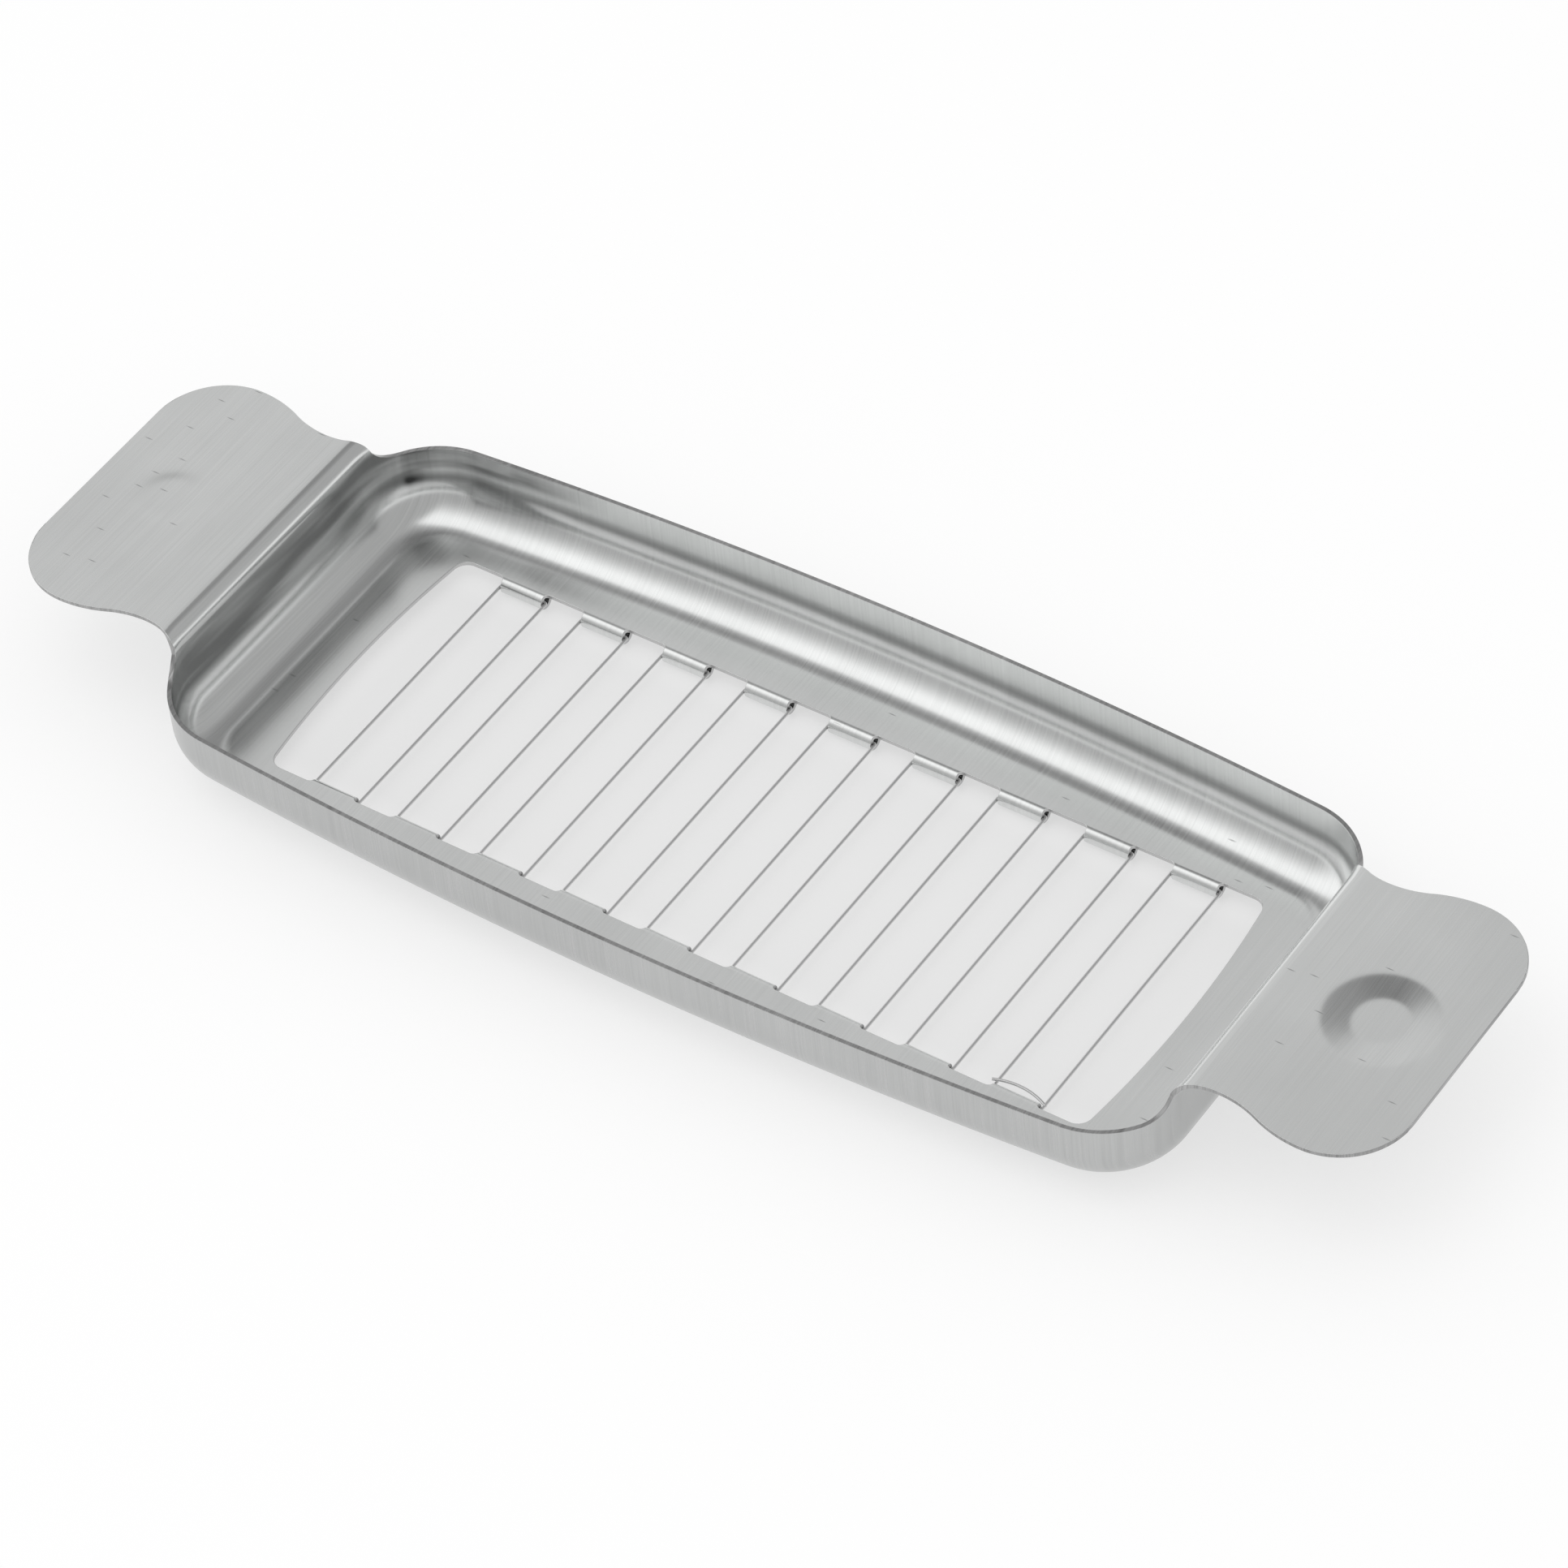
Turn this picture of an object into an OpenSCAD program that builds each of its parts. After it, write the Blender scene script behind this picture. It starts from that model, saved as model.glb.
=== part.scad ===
// Wire butter slicer: one stamped sheet tray with two handles, strung with nine closed wire loops.
// Millimetres. X runs along the length, Y across it to the far side, Z up from the tab barrels' lowest line.

/* [Sheet] */
// Thickness of the stamped steel sheet
sheet_thickness = 0.6; // [0.5:0.05:0.7]
// Clearance left where the wire lies on the sheet
wire_clearance = 0.05; // [0.04:0.01:0.06]

/* [Tray] */
// Height of the trimmed rim above the floor of the tray
rim_rise = 10.5; // [9.5:0.1:11.5]
// Half the outside length of the tray at the rim
tray_half_length = 74.3; // [73:0.1:76]
// Half the outside width of the tray at its middle
tray_half_width = 32.4; // [31:0.1:34]
// Outside radius of the tray's corners
corner_radius = 11.8; // [11:0.1:12.5]
// Inside radius between the floor and the walls
floor_fillet_radius = 6.2; // [5.6:0.1:6.6]

/* [Window] */
// Half the length of the window in the floor, at its middle
window_half_length = 62; // [61:0.1:63]
// Half the width of the window between its straight edges
window_half_width = 21.05; // [20.6:0.05:21.5]
// Radius of the bowed ends of the window
window_end_radius = 160; // [120:10:240]
// Radius of the window's corners
window_corner_radius = 2; // [1.2:0.1:2.6]

/* [Wires] */
// Number of wire loops, each strung over two facing tabs
loop_count = 9; // [9:1:9]
// Distance from one loop to the next
loop_pitch = 12.7; // [12.4:0.1:13]
// Distance between the two spans of one loop
span_spacing = 7; // [6.8:0.05:7.2]
// Diameter of the cutting wire
wire_diameter = 0.4; // [0.3:0.02:0.4]
// Centreline radius where a wire turns round the end of a tab
wire_turn_radius = 0.35; // [0.35:0.01:0.36]

/* [Tabs] */
// Outside radius of the rolled tab barrels
barrel_radius = 1.25; // [1.2:0.01:1.3]

/* [Handles] */
// Height from the tray's floor to the top of the handles
handle_rise = 15; // [14:0.1:16]
// Distance from the middle of the tray to the end of a handle
handle_reach = 101; // [99:0.1:103]
// Upper radius of the bend from the end wall into the handle
bend_radius = 2.4; // [2:0.1:3]
// Half the width of the handle at its widest
handle_half_width = 21.7; // [21.2:0.1:22.2]
// How far the neck draws in on each side from the widest place
waist_depth = 2.5; // [2.3:0.1:2.9]
// Radius of the handle's outer corners
handle_corner_radius = 9.7; // [8:0.1:11]
// Radius of the handle's shoulders, inward of the widest place
shoulder_radius = 17; // [14:0.5:20]
// Radius of the hollow between shoulder and neck
hollow_radius = 14; // [12:0.5:16]
// Radius of the flare from the neck to the end wall
flare_radius = 9.2; // [8.5:0.1:9.8]
// Radius of the sweep from the end wall's sides down to the rim
trim_radius = 4.2; // [4:0.1:4.4]
// How far the end wall's upper sides lie inside the handle's widest place
wall_inset = 1.1; // [1:0.1:1.2]

/* [Thumb dimples] */
// Place of a dimple's centre along the handle's flat plate, from the bend to the handle's end
dimple_place_share = 0.542; // [0.5:0.01:0.6]
// Radius of the flat disc at the bottom of a dimple
dimple_disc_radius = 3.6; // [3:0.1:4.2]
// Slope of a dimple's side in degrees
dimple_slope = 7; // [6.5:0.5:9]
// Depth of the right dimple
right_dimple_depth = 0.45; // [0.35:0.05:0.6]
// Depth of the left dimple, which is pressed more lightly
left_dimple_depth = 0.15; // [0.1:0.05:0.25]

/* [Hidden] */

// Facets to a full turn in the preview: of ordinary arcs, of the long sides, of the wire
fine = 96;
arc_fine = 1440;
wire_fine = 24;

// Heights
barrel_bore_radius = barrel_radius - sheet_thickness;
floor_top = 2 * barrel_radius;
floor_bottom = floor_top - sheet_thickness;
rim_top = floor_top + rim_rise;
handle_top = floor_top + handle_rise;
handle_bottom = handle_top - sheet_thickness;
bend_height = handle_top - bend_radius;
wire_height = barrel_radius;

// The flat of the floor, which every wall section starts from
wall_reach = floor_fillet_radius + sheet_thickness;
flat_half_length = tray_half_length - wall_reach;
flat_half_width = tray_half_width - wall_reach;
flat_corner_radius = corner_radius - wall_reach;
bend_start = floor_fillet_radius + bend_radius;
// How far neighbouring pieces of sheet run into each other before they are joined
lap = sheet_thickness;

// The long sides bow: each falls in from its middle to the corners' centres by this share of the run
bow_fall_share = 0.04;
bow_reach_share = (1 / bow_fall_share + bow_fall_share) / 2;
corner_x = flat_half_length - flat_corner_radius;
corner_y = flat_half_width - flat_corner_radius - corner_x * bow_fall_share;
flat_bow_radius = flat_corner_radius + corner_x * bow_reach_share;
bow_y = flat_half_width - flat_bow_radius;
// A long side's half angle, and how far past its ends it is swept before it is cut to length
bow_angle = asin(1 / bow_reach_share);
spare_angle = 1;
// The seam between corner and long side leaves the corner's centre in this direction
seam_run = corner_radius / bow_reach_share * 2;
seam_rise = corner_radius * 2 * (bow_reach_share - bow_fall_share) / bow_reach_share;

// Half the widths of the end wall above the sweep and of the handle's neck
wall_half_width = handle_half_width - wall_inset;
neck_half_width = handle_half_width - waist_depth;

// Handle outline: corner, shoulder, hollow and flare are tangent circles
handle_corner_x = handle_reach - handle_corner_radius;
handle_corner_y = handle_half_width - handle_corner_radius;
shoulder_y = handle_half_width - shoulder_radius;
hollow_y = neck_half_width + hollow_radius;
neck_x = handle_corner_x - sqrt(pow(shoulder_radius + hollow_radius, 2) - pow(hollow_y - shoulder_y, 2));
shoulder_share = shoulder_radius / (shoulder_radius + hollow_radius);
shoulder_end_x = handle_corner_x + (neck_x - handle_corner_x) * shoulder_share;
shoulder_end_y = shoulder_y + (hollow_y - shoulder_y) * shoulder_share;
flare_y = neck_half_width + flare_radius;
// The flare is drawn from inside the end wall and to just past its sides, and the trim cuts it
flare_x = flat_half_length;
flare_reach_y = wall_half_width + lap;
// The handle's flat plate starts where the bend ends, and carries the dimple
plate_start = tray_half_length - sheet_thickness + bend_radius;
dimple_reach = plate_start + (handle_reach - plate_start) * dimple_place_share;

// Wire paths
wire_radius = wire_diameter / 2;
wire_end = window_half_width - barrel_bore_radius + wire_radius + wire_clearance;
tab_half_width = span_spacing / 2 - wire_radius - wire_clearance;
first_loop = -(loop_count - 1) / 2 * loop_pitch;
// The last wire's loose end bows out in front of its tab and climbs over the neighbouring span
knot_radius = wire_radius + wire_clearance;
tail_y = window_half_width - barrel_radius - knot_radius - wire_clearance;
tail_half_turn = 26;
tail_bow_radius = (span_spacing / 2 + knot_radius) / sin(tail_half_turn);
tail_tilt = 4.2;

// A plan with two straight sides (across X) and two bowed sides (across Y), all corners rounded
module bowed_plan(half_x, half_y, bow, corner) {
  cx = half_x - corner;
  cy = half_y - bow + sqrt(pow(bow - corner, 2) - pow(cx, 2));
  tx = cx * bow / (bow - corner);
  ty = half_y - bow + (cy - half_y + bow) * bow / (bow - corner);
  polygon([[half_x, -cy], [half_x, cy], [tx, ty], [-tx, ty], [-half_x, cy], [-half_x, -cy], [-tx, -ty], [tx, -ty]]);
  for (sx = [-1, 1], sy = [-1, 1])
    translate([sx * cx, sy * cy])
      circle(r = corner, $fn = fine);
  for (sy = [0, 1])
    mirror([0, sy])
      intersection() {
        translate([0, half_y - bow])
          circle(r = bow, $fn = arc_fine);
        translate([-tx, ty - corner])
          square([2 * tx, corner * 2]);
      }
}

// A quarter of a ring in the quadrant right of and below its centre
module quarter_ring(outer, inner) {
  intersection() {
    difference() {
      circle(r = outer, $fn = fine);
      circle(r = inner, $fn = fine);
    }
    translate([0, -outer])
      square([outer, outer]);
  }
}

// Section of floor edge, fillet and wall; start is where the flat of the floor ends
module wall_section(start, top) {
  translate([start - lap, floor_bottom])
    square([lap, sheet_thickness]);
  translate([start, floor_top + floor_fillet_radius])
    quarter_ring(wall_reach, floor_fillet_radius);
  translate([start + floor_fillet_radius, floor_top + floor_fillet_radius])
    square([sheet_thickness, top - floor_top - floor_fillet_radius]);
}

// Section of the bend from the end wall out into the handle
module bend_section(start) {
  translate([start + bend_start, bend_height])
    rotate(180)
      quarter_ring(bend_radius, bend_radius - sheet_thickness);
  translate([start + bend_start, handle_bottom])
    square([lap, sheet_thickness]);
}

// Rim line seen along the tray: low at the sides, sweeping up to the handle's end wall
module trim_outline() {
  translate([-tray_half_width, 0])
    square([2 * tray_half_width, rim_top]);
  translate([-wall_half_width, rim_top - lap])
    square([2 * wall_half_width, handle_rise]);
  difference() {
    translate([-wall_half_width - trim_radius, rim_top - lap])
      square([2 * wall_half_width + 2 * trim_radius, trim_radius + lap]);
    for (side = [-1, 1])
      translate([side * (wall_half_width + trim_radius), rim_top + trim_radius])
        circle(r = trim_radius, $fn = fine);
  }
}

// Half of a handle's plan, on the far side: flare, hollow, shoulder and corner, each run into the one before
module handle_half_plan() {
  difference() {
    translate([flare_x, -lap])
      square([neck_x - flare_x, flare_reach_y + lap]);
    translate([neck_x, flare_y])
      circle(r = flare_radius, $fn = fine);
  }
  difference() {
    translate([neck_x - lap, -lap])
      square([shoulder_end_x - neck_x + lap, hollow_y + lap]);
    translate([neck_x, hollow_y])
      circle(r = hollow_radius, $fn = fine);
  }
  intersection() {
    translate([handle_corner_x, shoulder_y])
      circle(r = shoulder_radius, $fn = fine);
    translate([shoulder_end_x - lap, -lap])
      square([handle_corner_x - shoulder_end_x + lap, handle_half_width + lap]);
  }
  intersection() {
    translate([handle_corner_x, handle_corner_y])
      circle(r = handle_corner_radius, $fn = fine);
    translate([handle_corner_x - lap, handle_corner_y - lap])
      square([handle_corner_radius + lap, handle_corner_radius + lap]);
  }
  translate([handle_corner_x - lap, -lap])
    square([handle_corner_radius + lap, handle_corner_y + lap]);
}

module handle_plan() {
  handle_half_plan();
  mirror([0, 1])
    handle_half_plan();
}

// Everything inside the line where the bend ends and the flat of the handle begins
module inside_bend_plan(extra) {
  reach = bend_start + flat_corner_radius + extra;
  translate([0, -corner_y])
    square([corner_x + reach, 2 * corner_y]);
  for (side = [-1, 1])
    translate([corner_x, side * corner_y])
      circle(r = reach, $fn = fine);
}

// The straight end wall's middle, as long as the distance between the corners' centres
module straight_end() {
  translate([corner_x + flat_corner_radius, corner_y, 0])
    rotate([90, 0, 0])
      linear_extrude(height = 2 * corner_y)
        children();
}

// Plan of one corner, from the end wall round to the seam with the long side
module corner_plan() {
  polygon([[0, 0], [2 * corner_radius, 0], [2 * corner_radius, seam_rise], [seam_run, seam_rise]]);
}

module corner_sweep() {
  intersection() {
    rotate_extrude(angle = 90, $fn = fine)
      wall_section(flat_corner_radius, bend_height);
    linear_extrude(height = handle_top)
      corner_plan();
  }
}

// End wall and both corners, before trimming
module end_walls() {
  straight_end()
    wall_section(0, bend_height);
  for (side = [0, 1])
    mirror([0, side, 0])
      translate([corner_x, corner_y, 0])
        corner_sweep();
}

// The bend from the end wall into the handle, before trimming
module end_bend() {
  straight_end()
    bend_section(0);
  for (side = [0, 1])
    mirror([0, side, 0])
      translate([corner_x, corner_y, 0])
        rotate_extrude(angle = 90, $fn = fine)
          bend_section(flat_corner_radius);
}

// What a thumb dimple takes down from a face at this height
module dimple(top, depth) {
  ring_radius = dimple_disc_radius + depth / tan(dimple_slope);
  translate([dimple_reach, 0, top - depth])
    cylinder(h = depth, r1 = dimple_disc_radius, r2 = ring_radius, $fn = fine);
}

module handle_plate(depth) {
  difference() {
    union() {
      translate([0, 0, handle_bottom])
        linear_extrude(height = sheet_thickness)
          difference() {
            handle_plan();
            inside_bend_plan(lap / 2);
          }
      intersection() {
        dimple(handle_bottom, depth);
        linear_extrude(height = handle_top)
          handle_plan();
      }
    }
    dimple(handle_top, depth);
  }
}

module end_trim() {
  rotate([90, 0, 90])
    linear_extrude(height = handle_reach)
      trim_outline();
}

// One end of the tray: end wall, both corners, bend and handle
module tray_end(depth) {
  intersection() {
    end_walls();
    end_trim();
  }
  intersection() {
    end_bend();
    end_trim();
    linear_extrude(height = 2 * handle_top)
      handle_plan();
  }
  handle_plate(depth);
}

// Plan of one long side, between its two seams
module long_side_plan() {
  run = corner_x + seam_run;
  rise = corner_y + seam_rise;
  polygon([[-corner_x, corner_y], [corner_x, corner_y], [run, rise], [-run, rise]]);
}

module long_wall() {
  intersection() {
    translate([0, bow_y, 0])
      rotate_extrude(angle = 2 * (bow_angle + spare_angle), start = 90 - bow_angle - spare_angle, $fn = arc_fine)
        wall_section(flat_bow_radius, rim_top);
    linear_extrude(height = handle_top)
      long_side_plan();
  }
}

module floor_plate() {
  translate([0, 0, floor_bottom])
    linear_extrude(height = sheet_thickness)
      difference() {
        bowed_plan(flat_half_length - lap / 2, flat_half_width - lap / 2, flat_bow_radius - lap / 2,
                   flat_corner_radius - lap / 2);
        rotate(90)
          bowed_plan(window_half_width, window_half_length, window_end_radius, window_corner_radius);
      }
}

// One tab, rolled into a barrel that opens towards the floor's underside
module tab() {
  translate([-tab_half_width, window_half_width, 0]) {
    rotate([90, 0, 90])
      linear_extrude(height = 2 * tab_half_width)
        barrel_section();
    translate([0, 0, floor_bottom])
      cube([2 * tab_half_width, lap, sheet_thickness]);
  }
}

module barrel_section() {
  translate([0, barrel_radius])
    difference() {
      circle(r = barrel_radius, $fn = fine);
      circle(r = barrel_bore_radius, $fn = fine);
      square([barrel_radius, barrel_radius]);
    }
}

module stamped_tray() {
  color([0.74, 0.75, 0.75]) {
    floor_plate();
    for (side = [0, 1])
      mirror([0, side, 0])
        long_wall();
    tray_end(right_dimple_depth);
    mirror([1, 0, 0])
      tray_end(left_dimple_depth);
    for (side = [0, 1], i = [0:loop_count - 1])
      mirror([0, side, 0])
        translate([first_loop + i * loop_pitch, 0, 0])
          tab();
  }
}

// A straight length of wire
module wire_run(length) {
  cylinder(h = length, r = wire_radius, $fn = wire_fine);
}

// A quarter turn of wire round the end of a tab
module wire_turn() {
  rotate_extrude(angle = 90, $fn = fine)
    translate([wire_turn_radius, 0])
      circle(r = wire_radius, $fn = wire_fine);
}

// The loose end, starting at a knot on the span at its right
module wire_tail() {
  sphere(r = knot_radius, $fn = wire_fine);
  rotate([0, tail_tilt, 0])
    translate([-tail_bow_radius * sin(tail_half_turn), -tail_bow_radius * cos(tail_half_turn), 0])
      rotate_extrude(angle = 2 * tail_half_turn, start = 90 - tail_half_turn, $fn = fine)
        translate([tail_bow_radius, 0])
          circle(r = wire_radius, $fn = wire_fine);
}

// A closed loop: two spans across the window and a short run inside each facing tab
module wire_loop(index) {
  half_span = span_spacing / 2;
  turn_x = half_span - wire_turn_radius;
  turn_y = wire_end - wire_turn_radius;
  color([0.6, 0.6, 0.6])
    translate([first_loop + (index - 1) * loop_pitch, 0, wire_height]) {
      for (side = [-1, 1]) {
        translate([side * half_span, -turn_y, 0])
          rotate([-90, 0, 0])
            wire_run(2 * turn_y);
        translate([-turn_x, side * wire_end, 0])
          rotate([0, 90, 0])
            wire_run(2 * turn_x);
      }
      for (across = [0, 1], along = [0, 1])
        mirror([across, 0, 0])
          mirror([0, along, 0])
            translate([turn_x, turn_y, 0])
              wire_turn();
      if (index == loop_count)
        translate([half_span, -tail_y, 0])
          wire_tail();
    }
}

stamped_tray();
wire_loop(1);  // wire_loop_1
wire_loop(2);  // wire_loop_2
wire_loop(3);  // wire_loop_3
wire_loop(4);  // wire_loop_4
wire_loop(5);  // wire_loop_5
wire_loop(6);  // wire_loop_6
wire_loop(7);  // wire_loop_7
wire_loop(8);  // wire_loop_8
wire_loop(9);  // wire_loop_9
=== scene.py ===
"""Visual model of a wire butter slicer: one stamped sheet tray strung with nine wire loops."""

import logging
import math
from dataclasses import dataclass, field
from enum import Enum, IntEnum

import bmesh
import bpy
from mathutils import Matrix, Vector

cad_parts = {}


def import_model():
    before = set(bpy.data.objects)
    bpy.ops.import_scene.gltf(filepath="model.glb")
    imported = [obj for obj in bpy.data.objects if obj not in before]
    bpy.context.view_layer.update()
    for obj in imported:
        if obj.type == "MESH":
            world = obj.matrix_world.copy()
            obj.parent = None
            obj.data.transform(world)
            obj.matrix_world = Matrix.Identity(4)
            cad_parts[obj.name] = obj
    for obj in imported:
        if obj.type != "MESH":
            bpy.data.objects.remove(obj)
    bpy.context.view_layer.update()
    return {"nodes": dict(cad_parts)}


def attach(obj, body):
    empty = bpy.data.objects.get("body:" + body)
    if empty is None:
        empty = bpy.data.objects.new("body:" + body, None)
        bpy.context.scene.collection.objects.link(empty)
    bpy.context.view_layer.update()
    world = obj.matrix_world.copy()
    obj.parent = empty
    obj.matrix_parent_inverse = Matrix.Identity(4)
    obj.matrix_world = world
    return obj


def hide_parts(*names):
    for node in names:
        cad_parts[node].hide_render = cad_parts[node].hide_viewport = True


logging.basicConfig(level=logging.INFO, format="%(message)s")
log = logging.getLogger("butter_slicer")

MM = 0.001
Verts = list[bmesh.types.BMVert]
Socket = bpy.types.NodeSocket
Triple = tuple[float, float, float]
Edges = tuple[float, float, float, float]


class Side(Enum):
    """The two ends of the tray."""

    RIGHT = 1.0
    LEFT = -1.0


class Coord(Enum):
    """The stretch of the plan that a station is on."""

    END = "end"
    CORNER = "corner"
    LONG = "long"


class SheetSlot(IntEnum):
    """The tray's material slots.

    The solidify modifier adds WALL_EDGE or WALL_BACK to a face's own slot for its edges and back.
    No face has BACK_EDGE, which only keeps the count.
    """

    WALL = 0
    WALL_EDGE = 1
    FLOOR = 2
    WINDOW_EDGE = 3
    WALL_BACK = 4
    BACK_EDGE = 5
    FLOOR_BACK = 6


@dataclass(frozen=True)
class Station:
    """One place round the tray's plan.

    value is the distance from the long axis on an end, the angle round a corner in degrees, or the
    distance along a long side. sx and sy are 1 or -1 and mirror it out of the first quarter.
    """

    kind: Coord
    value: float
    sx: float = 1.0
    sy: float = 1.0


def smoothstep(low: float, high: float, value: float) -> float:
    """Returns 0 below low, 1 above high and a smooth climb between."""
    share = min(1.0, max(0.0, (value - low) / (high - low)))
    return share * share * (3.0 - 2.0 * share)


def soft_min(first: float, second: float, blend: float) -> float:
    """The smaller of two lengths, rounded over where they are nearly equal.

    Args:
        first: one length.
        second: the other length.
        blend: how much lower the result is where both are equal.

    Returns:
        The rounded minimum.
    """
    mean = 0.5 * (first + second)
    half = 0.5 * (first - second)
    return mean - math.sqrt(half * half + blend * blend)


def spread(start: float, end: float, count: int) -> list[float]:
    """Returns count + 1 even steps from start to end."""
    return [start + (end - start) * step / count for step in range(count + 1)]


@dataclass(frozen=True)
class ShellRows:
    """How finely the shell is divided: counts of rows and columns, and where they change.

    Places are millimetres and turns are degrees.
    """

    end_middle: float = 8.0
    end_middle_columns: int = 22
    end_outer_columns: int = 12
    junction_columns: int = 9
    sweep_columns: int = 9
    corner_columns: int = 14
    gap_columns: int = 3
    tab_columns: int = 8
    side_end_columns: int = 5
    floor_shares: tuple[float, ...] = (0.12, 0.35, 0.68, 1.0)
    fillet_rows: int = 18
    wall_heights: tuple[float, ...] = (9.6, 10.4)
    upper_rows: int = 12
    trim_rows: int = 12
    bend_rows: int = 5
    plate_fine_x: float = 81.2
    plate_start_rows: int = 9
    plate_rows: int = 28
    tip_turn: float = 60.0
    tip_rows: int = 20
    tip_turns: tuple[float, ...] = (65.0, 70.0, 75.0, 81.0, 90.0)
    root_turn: float = 15.0
    root_rows: int = 6
    barrel_rows: int = 24


@dataclass
class TrayShell:
    """The stamped sheet: floor, window, walls, rim, grip plates, dimples and rolled tabs.

    All sizes are millimetres, degrees or counts. The mesh is the sheet's upper face, grown ring by
    ring from the window's edge, and a solidify modifier gives it its thickness. The outline is the
    same on all four quarters, so most methods work in the first and mirror the result.
    """

    thickness: float = 0.6
    floor_z: float = 2.5
    rim_z: float = 13.0
    handle_z: float = 17.5
    fillet: float = 6.2
    flat_length: float = 67.5
    flat_corner: float = 5.0
    corner_x: float = 62.5
    corner_y: float = 18.1
    bow_radius: float = 787.5
    bow_y: float = -761.9
    bow_ease: float = 0.025
    bend_radius: float = 2.4
    sweep_radius: float = 4.2
    sweep_turn: float = 45.0
    wall_half: float = 20.6
    neck_half: float = 19.2
    handle_half: float = 21.7
    handle_end: float = 101.0
    handle_corner: float = 9.7
    shoulder: float = 17.0
    hollow: float = 14.0
    flare: float = 9.2
    window_x: float = 62.0
    window_y: float = 21.05
    window_bow: float = 160.0
    window_corner: float = 2.0
    dimple_x: float = 89.596
    dimple_disc: float = 3.6
    dimple_slope: float = 7.0
    dimple_blend: float = 0.015
    right_dimple_depth: float = 0.45
    left_dimple_depth: float = 0.15
    tab_half: float = 3.25
    tab_root: float = 0.65
    barrel: float = 1.25
    tab_roll: float = 270.0
    loop_pitch: float = 12.7
    loops: int = 9
    edge_bevel: float = 0.09
    bevel_angle: float = 50.0
    bevel_segments: int = 2
    width_blend: float = 0.05
    upper_start: float = 11.0
    lag_end: float = 80.0
    slack: float = 0.01
    turn_slack: float = 1e-6
    merge_gap: float = 0.004
    level_normal: float = 0.99
    rows: ShellRows = ShellRows()
    stations: list[Station] = field(default_factory=list)

    def __post_init__(self) -> None:
        """Works out the lengths that follow from the named sizes."""
        self.bend_x = self.flat_length + self.fillet + self.bend_radius
        self.bend_z = self.handle_z - self.bend_radius
        self.handle_corner_x = self.handle_end - self.handle_corner
        shoulder_y = self.handle_half - self.shoulder
        hollow_y = self.neck_half + self.hollow
        reach = self.shoulder + self.hollow
        self.neck_x = self.handle_corner_x - math.sqrt(reach ** 2 - (hollow_y - shoulder_y) ** 2)
        share = self.shoulder / reach
        self.shoulder_end = self.handle_corner_x + (self.neck_x - self.handle_corner_x) * share
        self.shoulder_y = shoulder_y
        self.hollow_y = hollow_y
        self.seam = math.degrees(math.atan2(self.corner_y - self.bow_y, self.corner_x))
        self.wall_reach = self.flat_corner + self.fillet
        turn = math.radians(self.sweep_turn)
        self.junction_y = self.wall_half + self.sweep_radius * (1.0 - math.sin(turn))
        self.junction_z = self.rim_z + self.sweep_radius * (1.0 - math.cos(turn))
        self.junction = math.degrees(math.asin((self.junction_y - self.corner_y) / self.wall_reach))

    def handle_width(self, x: float) -> float:
        """Half the width of the grip plate in plan.

        Args:
            x: distance from the middle of the tray.

        Returns:
            The half width there.
        """
        if x < self.neck_x:
            drop = math.sqrt(max(0.0, self.flare ** 2 - (self.neck_x - x) ** 2))
            return self.neck_half + self.flare - drop
        if x < self.shoulder_end:
            return self.hollow_y - math.sqrt(self.hollow ** 2 - (x - self.neck_x) ** 2)
        if x < self.handle_corner_x:
            return self.shoulder_y + math.sqrt(self.shoulder ** 2 - (self.handle_corner_x - x) ** 2)
        rest = max(0.0, self.handle_corner ** 2 - (x - self.handle_corner_x) ** 2)
        return self.handle_half - self.handle_corner + math.sqrt(rest)

    def dimple_drop(self, x: float, y: float) -> float:
        """How far the thumb dimple lowers the plate.

        Args:
            x: distance from the middle of the tray, negative on the left.
            y: distance from the long axis.

        Returns:
            The depth at that place in plan.
        """
        away = math.hypot(abs(x) - self.dimple_x, y)
        depth = self.right_dimple_depth if x > 0.0 else self.left_dimple_depth
        climb = depth - (away - self.dimple_disc) * math.tan(math.radians(self.dimple_slope))
        blend = self.dimple_blend * self.right_dimple_depth / depth
        return -soft_min(0.0, -soft_min(depth, climb, blend), blend)

    def window_point(self, station: Station) -> Vector:
        """Place of a station on the window's edge.

        Args:
            station: a place round the plan.

        Returns:
            The point in millimetres at floor height.
        """
        inset = self.window_y - self.window_corner
        end_x = self.window_x - self.window_bow
        centre_x = end_x + math.sqrt((self.window_bow - self.window_corner) ** 2 - inset ** 2)
        tip = math.degrees(math.asin(inset / (self.window_bow - self.window_corner)))
        if station.kind is Coord.END:
            angle = math.radians(tip * station.value / self.corner_y)
            x = end_x + self.window_bow * math.cos(angle)
            y = self.window_bow * math.sin(angle)
        elif station.kind is Coord.CORNER:
            angle = math.radians(tip + (90.0 - tip) * station.value / self.seam)
            x = centre_x + self.window_corner * math.cos(angle)
            y = inset + self.window_corner * math.sin(angle)
        else:
            x = min(station.value, centre_x)
            y = self.window_y
        return Vector((x * station.sx, y * station.sy, self.floor_z))

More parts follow.
